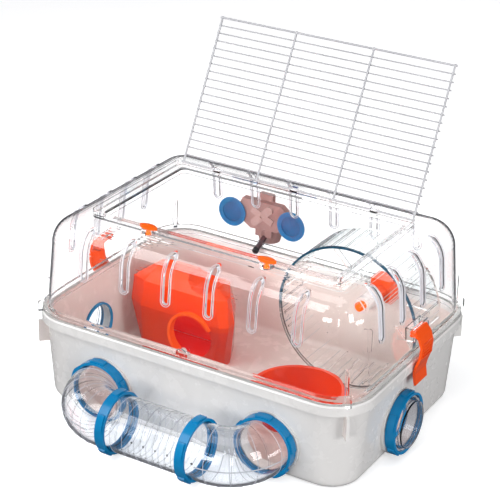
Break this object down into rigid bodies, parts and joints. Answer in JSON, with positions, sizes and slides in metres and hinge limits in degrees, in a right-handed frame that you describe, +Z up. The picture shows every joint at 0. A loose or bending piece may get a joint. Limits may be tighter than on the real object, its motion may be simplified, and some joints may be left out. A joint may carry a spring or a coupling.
{
  "type": "small-animal cage",
  "caption": "Small-animal cage: white tub, clear vented shell with a wire roof door, running wheel, house, food dish, bottle holder and an outside tube run with twist rings.",
  "frame": {"origin": "on the ground, under the middle of the tub's rim rectangle", "axes": "+X along the long side to the right as seen from the front, -Y out of the long front wall with the tube run, +Z up"},
  "size_m": [0.4254, 0.401, 0.369],
  "materials": {
    "white_plastic": "moulded, satin gloss",
    "clear_plastic": "clear moulded plastic, polished",
    "coated_wire": "white coated wire",
    "orange_plastic": "gloss",
    "bright_orange": "gloss",
    "house_orange": "translucent, gloss",
    "blue_plastic": "gloss",
    "teal_plastic": "gloss",
    "taupe_plastic": "satin",
    "spout_grey": "satin",
    "black_rubber": "matt"
  },
  "bodies": {
    "base": {"tub": "white_plastic"},
    "cover": {"shell": "clear_plastic", "wheel_bracket": "orange_plastic", "holder_bracket": "taupe_plastic", "holder_disc_left": "blue_plastic", "holder_disc_right": "blue_plastic", "holder_cup": "taupe_plastic", "spout": "spout_grey", "spout_tip": "black_rubber"},
    "roof_door": {"door": "coated_wire"},
    "end_latch_left": {"latch_left": "orange_plastic"},
    "end_latch_right": {"latch_right": "orange_plastic"},
    "roof_catch_left": {"catch_left": "bright_orange"},
    "roof_catch_right": {"catch_right": "bright_orange"},
    "wheel": {"wheel_drum": "clear_plastic", "wheel_rim": "teal_plastic", "wheel_hub": "clear_plastic", "wheel_cap": "bright_orange"},
    "turn_clip": {"holder_clip": "taupe_plastic"},
    "tube_run": {"elbow_left": "clear_plastic", "elbow_right": "clear_plastic", "tube": "clear_plastic"},
    "port_ring_left": {"ring_port_left": "blue_plastic"},
    "port_ring_right": {"ring_port_right": "blue_plastic"},
    "joint_ring_left": {"ring_tube_left": "blue_plastic"},
    "joint_ring_right": {"ring_tube_right": "blue_plastic"},
    "end_plug_left": {"plug_left": "clear_plastic"},
    "end_plug_right": {"plug_right": "clear_plastic"},
    "end_ring_left": {"ring_end_left": "blue_plastic"},
    "end_ring_right": {"ring_end_right": "blue_plastic"},
    "house_base": {"house_skirt": "house_orange"},
    "house_lid": {"house_roof": "house_orange", "house_hood": "bright_orange"},
    "food_dish": {"dish": "bright_orange"}
  },
  "joints": [
    {"name": "cover_lift", "type": "slide", "parent": "base", "child": "cover", "axis": [0, 0, 1], "range_m": [0, 0.12]},
    {"name": "roof_door_swing", "type": "hinge", "parent": "cover", "child": "roof_door", "pos_m": [0, 0.0848, 0.2154], "axis": [1, 0, 0], "range_deg": [0, 118]},
    {"name": "end_latch_left_swing", "type": "hinge", "parent": "cover", "child": "end_latch_left", "pos_m": [-0.1998, 0, 0.136], "axis": [0, 1, 0], "range_deg": [0, 65]},
    {"name": "end_latch_right_swing", "type": "hinge", "parent": "cover", "child": "end_latch_right", "pos_m": [0.1998, 0, 0.136], "axis": [0, -1, 0], "range_deg": [0, 65]},
    {"name": "roof_catch_left_turn", "type": "hinge", "parent": "cover", "child": "roof_catch_left", "pos_m": [-0.072, -0.097, 0.218], "axis": [0, 0, 1], "range_deg": [0, 90]},
    {"name": "roof_catch_right_turn", "type": "hinge", "parent": "cover", "child": "roof_catch_right", "pos_m": [0.072, -0.097, 0.218], "axis": [0, 0, 1], "range_deg": [0, 90]},
    {"name": "wheel_spin", "type": "hinge", "parent": "cover", "child": "wheel", "pos_m": [0.099, 0.06, 0.106], "axis": [0, 1, 0], "continuous": true},
    {"name": "turn_clip_turn", "type": "hinge", "parent": "cover", "child": "turn_clip", "pos_m": [-0.072, 0.14, 0.145], "axis": [0, 1, 0], "range_deg": [0, 90]},
    {"name": "tube_run_pull", "type": "slide", "parent": "base", "child": "tube_run", "axis": [0, -1, 0], "range_m": [0, 0.06]},
    {"name": "port_ring_left_twist", "type": "hinge", "parent": "tube_run", "child": "port_ring_left", "pos_m": [-0.103, -0.145, 0.038], "axis": [0, 1, 0], "range_deg": [0, 30]},
    {"name": "port_ring_right_twist", "type": "hinge", "parent": "tube_run", "child": "port_ring_right", "pos_m": [0.103, -0.145, 0.038], "axis": [0, 1, 0], "range_deg": [0, 30]},
    {"name": "joint_ring_left_twist", "type": "hinge", "parent": "tube_run", "child": "joint_ring_left", "pos_m": [-0.049, -0.1892, 0.038], "axis": [1, 0, 0], "range_deg": [0, 30]},
    {"name": "joint_ring_right_twist", "type": "hinge", "parent": "tube_run", "child": "joint_ring_right", "pos_m": [0.049, -0.1892, 0.038], "axis": [1, 0, 0], "range_deg": [0, 30]},
    {"name": "end_plug_left_pull", "type": "slide", "parent": "base", "child": "end_plug_left", "axis": [-1, 0, 0], "range_m": [0, 0.04]},
    {"name": "end_plug_right_pull", "type": "slide", "parent": "base", "child": "end_plug_right", "axis": [1, 0, 0], "range_m": [0, 0.04]},
    {"name": "end_ring_left_twist", "type": "hinge", "parent": "end_plug_left", "child": "end_ring_left", "pos_m": [-0.2, -0.025, 0.038], "axis": [1, 0, 0], "range_deg": [0, 30]},
    {"name": "end_ring_right_twist", "type": "hinge", "parent": "end_plug_right", "child": "end_ring_right", "pos_m": [0.2, -0.025, 0.038], "axis": [1, 0, 0], "range_deg": [0, 30]},
    {"name": "house_lift", "type": "slide", "parent": "base", "child": "house_base", "axis": [0, 0, 1], "range_m": [0, 0.05]},
    {"name": "house_lid_lift", "type": "slide", "parent": "house_base", "child": "house_lid", "axis": [0, 0, 1], "range_m": [0, 0.04]},
    {"name": "dish_lift", "type": "slide", "parent": "base", "child": "food_dish", "axis": [0, 0, 1], "range_m": [0, 0.1]}
  ]
}
